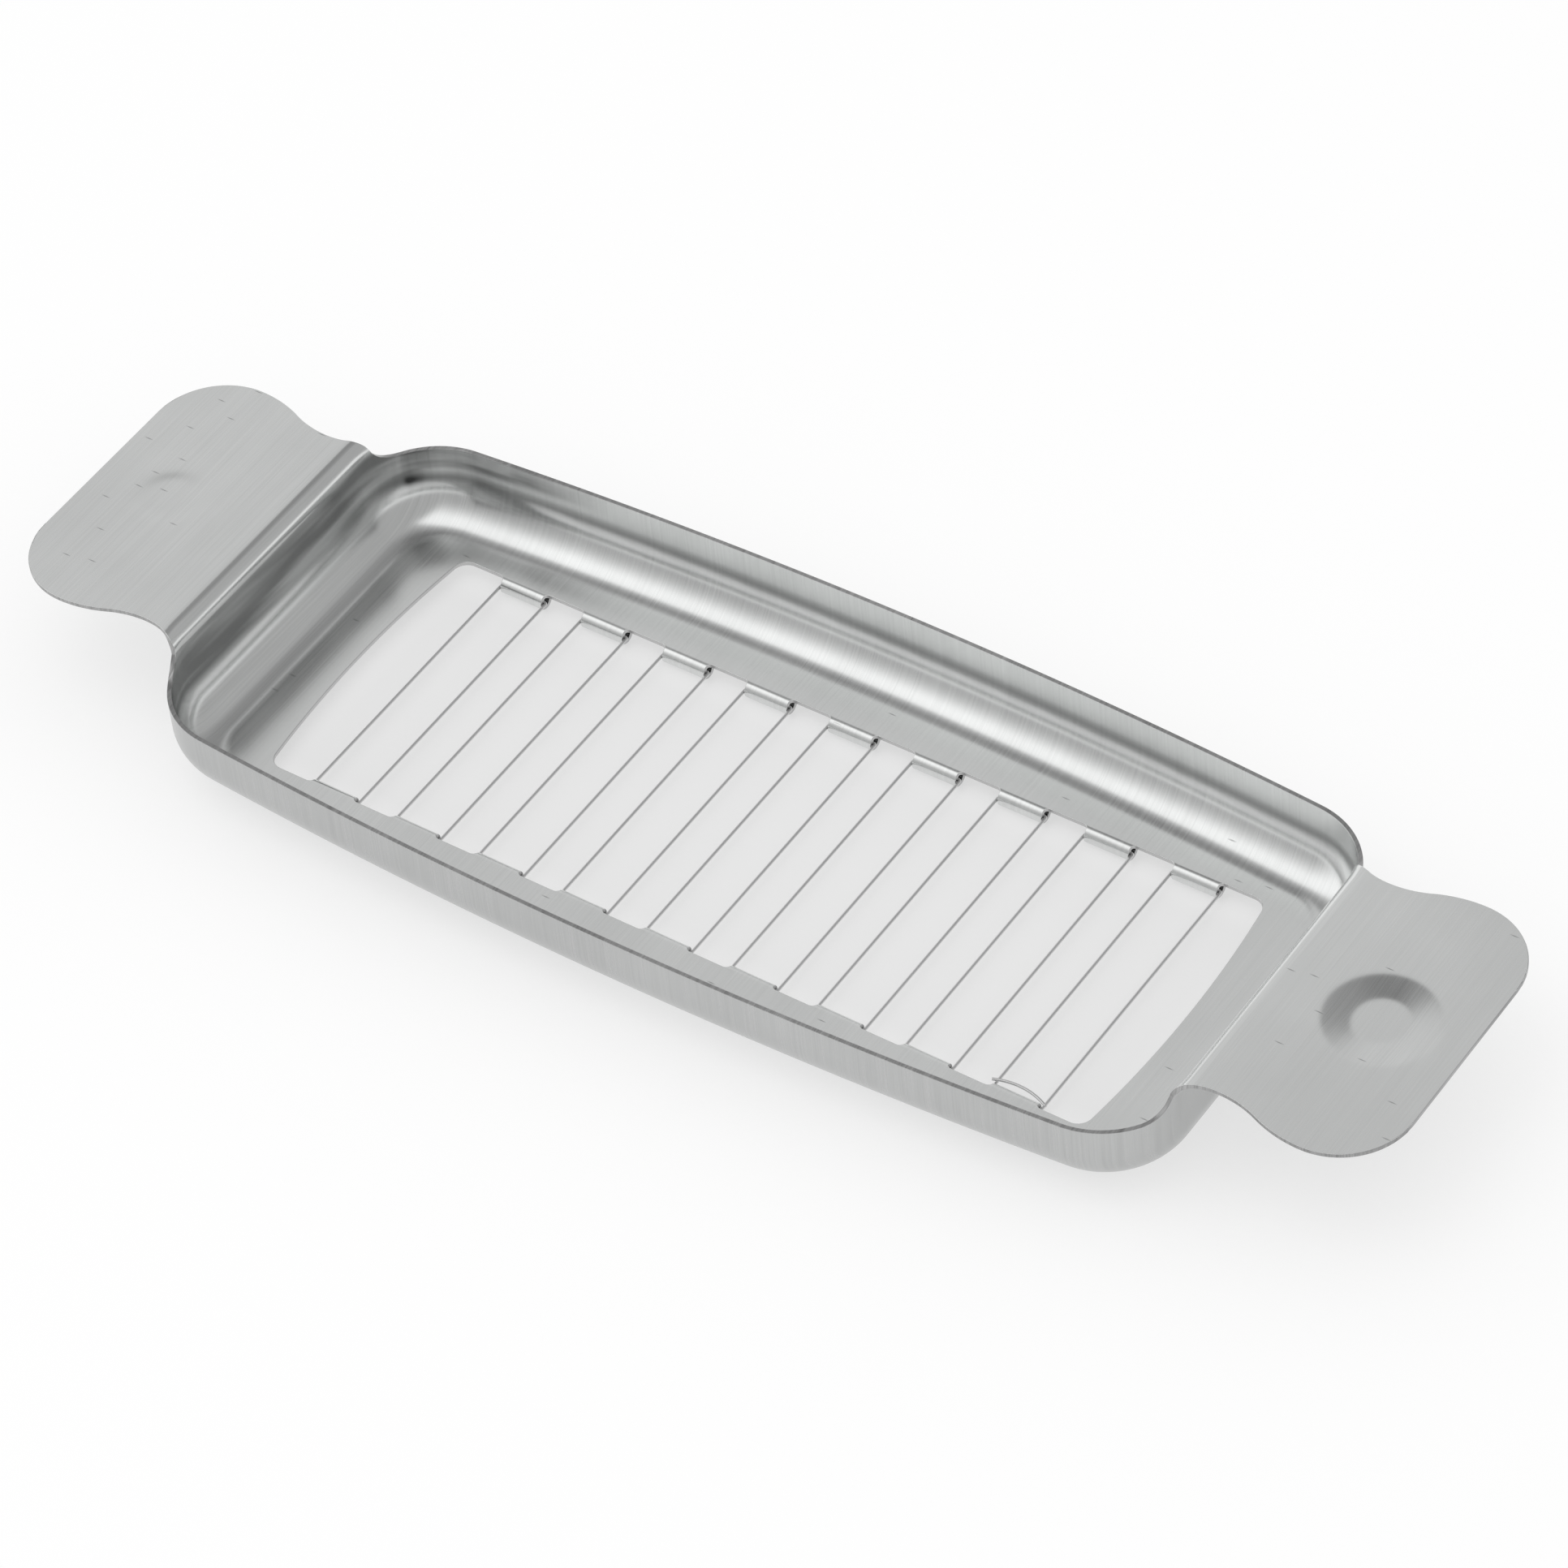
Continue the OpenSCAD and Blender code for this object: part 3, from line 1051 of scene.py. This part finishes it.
@dataclass(frozen=True)
class SteelFinish:
    """A bare steel finish with its grain.

    grain_height is millimetres and the rest are shares. Nicks show only where the normal's Z, up
    or down, is above nick_facing, so that none runs down an upright wall.
    """

    name: str
    colour: Triple
    roughness: float
    grain_height: float
    streak_contrast: float
    cloud_contrast: float
    scratch_depth: float = 0.0
    fineness: float = 1.0
    # Whether painted dark reflections and shade darken the inner walls.
    painted_wall_reflections: bool = False
    nick_facing: float = 0.85
    roughness_swing: float = 0.16

    def swung(self, nodes: NodeBuilder, source: Socket, swing: float, middle: float) -> Socket:
        """Lets a level swing about its middle value as a pattern does about a half.

        Args:
            nodes: the builder of the material's tree.
            source: the pattern.
            swing: how far it swings in all.
            middle: the value where the pattern is a half.

        Returns:
            The swinging level.
        """
        return nodes.math("MULTIPLY_ADD", source, swing, middle - 0.5 * swing)

    def lessened(self, nodes: NodeBuilder, level: Socket, loss: Socket) -> Socket:
        """Returns a level with a share of it taken off."""
        return nodes.math("MULTIPLY", level, nodes.math("SUBTRACT", 1.0, loss))

    def build(self) -> bpy.types.Material:
        """Builds the material.

        Returns:
            A procedural material on Object coordinates.
        """
        material = bpy.data.materials.new(self.name)
        material.use_nodes = True
        tree = material.node_tree
        nodes = NodeBuilder(tree)
        shader = tree.nodes["Principled BSDF"]
        shader.inputs["Metallic"].default_value = 1.0
        place = nodes.add("ShaderNodeTexCoord")
        grain = nodes.add("ShaderNodeGroup", node_tree=GrainGroup().build(), Fineness=self.fineness)
        nodes.join(place.outputs["Object"], grain.inputs["Vector"])
        shade = self.swung(nodes, grain.outputs["Streaks"], self.streak_contrast, 1.0)
        patch = self.swung(nodes, grain.outputs["Clouds"], self.cloud_contrast, 1.0)
        level = nodes.math("MULTIPLY", shade, patch)
        upright = nodes.math("ABSOLUTE", nodes.axes(place.outputs["Normal"])["Z"])
        level_face = nodes.math("GREATER_THAN", upright, self.nick_facing)
        nicks = nodes.math("MULTIPLY", grain.outputs["Scratches"], level_face)
        level = self.lessened(nodes, level, nodes.math("MULTIPLY", nicks, self.scratch_depth))
        # Painted dark reflections and shade inside the walls, darkening the colour by place on the
        # piece.
        if self.painted_wall_reflections:
            painted_dark = nodes.add("ShaderNodeGroup", node_tree=PaintedWallReflections().build())
            nodes.join(place.outputs["Object"], painted_dark.inputs["Vector"])
            nodes.join(place.outputs["Normal"], painted_dark.inputs["Normal"])
            level = self.lessened(nodes, level, painted_dark.outputs["Loss"])
        nodes.join(nodes.scaled(self.colour, level), shader.inputs["Base Color"])
        rough = self.swung(nodes, grain.outputs["Streaks"], self.roughness_swing, self.roughness)
        nodes.join(rough, shader.inputs["Roughness"])
        bump = nodes.add("ShaderNodeBump", Strength=1.0, Distance=self.grain_height * MM)
        nodes.join(grain.outputs["Streaks"], bump.inputs["Height"])
        nodes.join(bump.outputs["Normal"], shader.inputs["Normal"])
        return material


@dataclass
class WireHarp:
    """The nine wire loops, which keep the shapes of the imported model."""

    finish: bpy.types.Material
    count: int = 9

    def dress(self, nodes: dict[str, bpy.types.Object]) -> None:
        """Gives every loop its finish.

        Args:
            nodes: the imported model's objects by name.
        """
        for index in range(1, self.count + 1):
            obj = nodes[f"wire_loop_{index}"]
            obj.data.materials.clear()
            obj.data.materials.append(self.finish)
            log.info("dressed %s", obj.name)


@dataclass(frozen=True)
class Panel:
    """A soft light or a dark screen in the room, as the steel mirrors it.

    Each axis holds the low edge, the low edge's blur, the high edge and its blur, all as shares of
    a unit direction. A negative level darkens.
    """

    level: float
    along: Edges
    across: Edges


@dataclass
class Studio:
    """The camera, a pale floor, one soft lamp and a grey room with panels and a white horizon.

    The camera's, patch's and gap's lengths are millimetres, the floor's, lamp's and clip's are
    metres. Levels are shares of white. The patch is painted shade on the floor that shows through the
    window.
    """

    eye: Triple = (388.828, -481.994, 648.468)
    right: Triple = (0.82678, 0.55725, -0.07692)
    up: Triple = (-0.35801, 0.62671, 0.69214)
    back: Triple = (0.43390, -0.54471, 0.71765)
    lens: float = 165.84
    sensor: float = 36.0
    shift: float = -0.001
    clip: tuple[float, float] = (0.01, 20.0)
    floor_half: float = 4.0
    floor_gap: float = 0.05
    floor_roughness: float = 0.9
    floor_level: float = 0.8
    floor_glow: float = 0.6
    # Painted shade under the tray: the patch's level, half sizes and blur.
    patch_level: float = 0.82
    patch_half: tuple[float, float] = (64.0, 22.0)
    patch_blur: float = 6.0
    lamp_place: Triple = (-0.17, -0.20, 0.86)
    lamp_aim: Triple = (-0.10, -0.05, 0.0)
    lamp_size: tuple[float, float] = (0.6, 0.5)
    lamp_power: float = 0.6
    room_level: float = 0.48
    dome_level: float = 0.93
    backdrop_level: float = 1.0
    backdrop_band: Edges = (-2.0, 0.1, 0.16, 0.05)
    panels: tuple[Panel, ...] = (
        Panel(0.7, (-2.0, 0.1, 0.33, 0.12), (-0.62, 0.3, -0.02, 0.08)),
        Panel(-0.16, (-2.0, 0.1, 0.2, 0.15), (0.12, 0.1, 2.0, 0.1)),
        Panel(0.38, (-2.0, 0.1, -0.26, 0.05), (0.465, 0.035, 2.0, 0.1)),
        Panel(0.38, (-2.0, 0.1, -0.46, 0.04), (0.3, 0.05, 0.465, 0.035)),
        Panel(-0.13, (-0.4, 0.04, 0.0, 0.1), (0.2, 0.08, 0.44, 0.05)),
    )

    def build_camera(self) -> None:
        """Places the camera where the photograph was taken from."""
        data = bpy.data.cameras.new("camera")
        data.lens = self.lens
        data.sensor_width = self.sensor
        data.shift_x = self.shift
        data.clip_start, data.clip_end = self.clip
        camera = bpy.data.objects.new("camera", data)
        bpy.context.scene.collection.objects.link(camera)
        turn = Matrix((self.right, self.up, self.back)).transposed().to_4x4()
        camera.matrix_world = Matrix.Translation(Vector(self.eye) * MM) @ turn
        bpy.context.scene.camera = camera

    def build_floor(self) -> None:
        """Lays the pale floor under the slicer."""
        bm = bmesh.new()
        bmesh.ops.create_grid(bm, x_segments=1, y_segments=1, size=self.floor_half)
        bmesh.ops.translate(bm, verts=bm.verts, vec=(0.0, 0.0, -self.floor_gap * MM))
        mesh = bpy.data.meshes.new("studio_floor")
        bm.to_mesh(mesh)
        bm.free()
        floor = bpy.data.objects.new("studio_floor", mesh)
        bpy.context.scene.collection.objects.link(floor)
        mesh.materials.append(self.floor_finish())

    def floor_finish(self) -> bpy.types.Material:
        """Builds the floor's matt material.

        Returns:
            The material. Rays that show the background see it white, in part by its own glow, and
            darker under the tray by painted shade. All others meet it at floor_level.
        """
        material = bpy.data.materials.new("studio_floor")
        material.use_nodes = True
        shader = material.node_tree.nodes["Principled BSDF"]
        nodes = NodeBuilder(material.node_tree)
        watched = self.watched(nodes)
        seen = nodes.math("MULTIPLY", self.painted_shade_under_tray(nodes), watched)
        own = nodes.math("MULTIPLY", nodes.math("SUBTRACT", 1.0, watched), self.floor_level)
        lit = nodes.math("MULTIPLY", seen, 1.0 - self.floor_glow)
        nodes.join(nodes.math("ADD", lit, own), shader.inputs["Base Color"])
        shader.inputs["Emission Color"].default_value = (1.0, 1.0, 1.0, 1.0)
        nodes.join(nodes.math("MULTIPLY", seen, self.floor_glow), shader.inputs["Emission Strength"])
        shader.inputs["Roughness"].default_value = self.floor_roughness
        shader.inputs["Specular IOR Level"].default_value = 0.0
        return material

    def watched(self, nodes: NodeBuilder) -> Socket:
        """Adds the test for rays that show the background: camera, glossy and transmission rays.

        Args:
            nodes: the builder of the tree.

        Returns:
            A level of 1 for those rays and 0 for the rest.
        """
        path = nodes.add("ShaderNodeLightPath")
        seen = nodes.math("MAXIMUM", path.outputs["Is Camera Ray"], path.outputs["Is Glossy Ray"])
        return nodes.math("MAXIMUM", seen, path.outputs["Is Transmission Ray"])

    def painted_shade_under_tray(self, nodes: NodeBuilder) -> Socket:
        """Adds painted shade on the floor under the tray, as seen through the tray's window.

        Args:
            nodes: the builder of the floor's tree.

        Returns:
            A level of 1 out in the open and of patch_level under the tray.
        """
        place = nodes.axes(nodes.add("ShaderNodeTexCoord").outputs["Object"])
        blur = self.patch_blur * MM
        along, across = [nodes.band(place[axis], (-half * MM, blur, half * MM, blur))
                         for axis, half in zip("XY", self.patch_half)]
        patch = nodes.math("MULTIPLY", along, across)
        return nodes.math("MULTIPLY_ADD", patch, self.patch_level - 1.0, 1.0)

    def build_lamp(self) -> None:
        """Hangs one soft lamp over the slicer. The steel doesn't mirror it."""
        data = bpy.data.lights.new("overhead", "AREA")
        data.shape = "RECTANGLE"
        data.size, data.size_y = self.lamp_size
        data.energy = self.lamp_power
        lamp = bpy.data.objects.new("overhead", data)
        lamp.location = self.lamp_place
        facing = Vector(self.lamp_aim) - Vector(self.lamp_place)
        lamp.rotation_euler = facing.to_track_quat("-Z", "Y").to_euler()
        lamp.visible_glossy = False
        bpy.context.scene.collection.objects.link(lamp)

    def build_world(self) -> None:
        """Surrounds the slicer with the grey room, its panels and the white horizon.

        Diffuse rays meet one even level, so that the panels show in the steel and leave the
        shading of the floor alone.
        """
        world = bpy.data.worlds.new("studio")
        bpy.context.scene.world = world
        world.use_nodes = True
        tree = world.node_tree
        nodes = NodeBuilder(tree)
        back = tree.nodes["Background"]
        place = nodes.axes(nodes.add("ShaderNodeTexCoord").outputs["Generated"])
        level = self.room_level
        for panel in self.panels:
            share = nodes.math("MULTIPLY", nodes.band(place["X"], panel.along),
                               nodes.band(place["Y"], panel.across))
            level = nodes.math("MULTIPLY_ADD", share, panel.level, level)
        path = nodes.add("ShaderNodeLightPath")
        level = nodes.switch(path.outputs["Is Diffuse Ray"], level, self.dome_level)
        low = nodes.math("MULTIPLY", nodes.band(place["Z"], self.backdrop_band), self.watched(nodes))
        level = nodes.switch(low, level, self.backdrop_level)
        nodes.join(level, back.inputs["Color"])
        back.inputs["Strength"].default_value = 1.0

    def build(self) -> None:
        """Builds the whole studio."""
        self.build_camera()
        self.build_floor()
        self.build_world()
        self.build_lamp()
        bpy.context.scene.view_settings.view_transform = "Standard"


def main() -> None:
    """Builds the slicer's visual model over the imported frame."""
    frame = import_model()
    Studio().build()
    # The inner sheet carries painted dark reflections and shade inside its walls.
    sheet = SteelFinish("brushed sheet", colour=(0.755, 0.765, 0.76), roughness=0.2,
                        grain_height=0.0022, streak_contrast=0.36, cloud_contrast=0.2,
                        scratch_depth=0.42, painted_wall_reflections=True).build()
    # The outer faces reuse the sheet's steel, darker as painted shade.
    outside = SteelFinish("outer faces with painted shade", colour=(0.5, 0.505, 0.503), roughness=0.26,
                          grain_height=0.0022, streak_contrast=0.4, cloud_contrast=0.2,
                          scratch_depth=0.3).build()
    edge = SteelFinish("sheared edge", colour=(0.36, 0.36, 0.36), roughness=0.3,
                       grain_height=0.008, streak_contrast=2.0, cloud_contrast=0.9).build()
    lip = SteelFinish("rounded window edge", colour=(0.58, 0.58, 0.58), roughness=0.28,
                      grain_height=0.0005, streak_contrast=0.1, cloud_contrast=0.1).build()
    wire = SteelFinish("drawn wire", colour=(0.72, 0.72, 0.72), roughness=0.3,
                       grain_height=0.0005, streak_contrast=0.05, cloud_contrast=0.1).build()
    shell = TrayShell()
    tray = shell.build()
    shell.dress(tray, {
        SheetSlot.WALL: sheet,
        SheetSlot.WALL_EDGE: edge,
        SheetSlot.FLOOR: sheet,
        SheetSlot.WINDOW_EDGE: lip,
        SheetSlot.WALL_BACK: outside,
        SheetSlot.BACK_EDGE: edge,
        SheetSlot.FLOOR_BACK: outside,
    })
    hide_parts("stamped_tray")
    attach(tray, "root")
    log.info("built %s with %d faces", tray.name, len(tray.data.polygons))
    WireHarp(wire).dress(frame["nodes"])


if __name__ == "__main__":
    main()
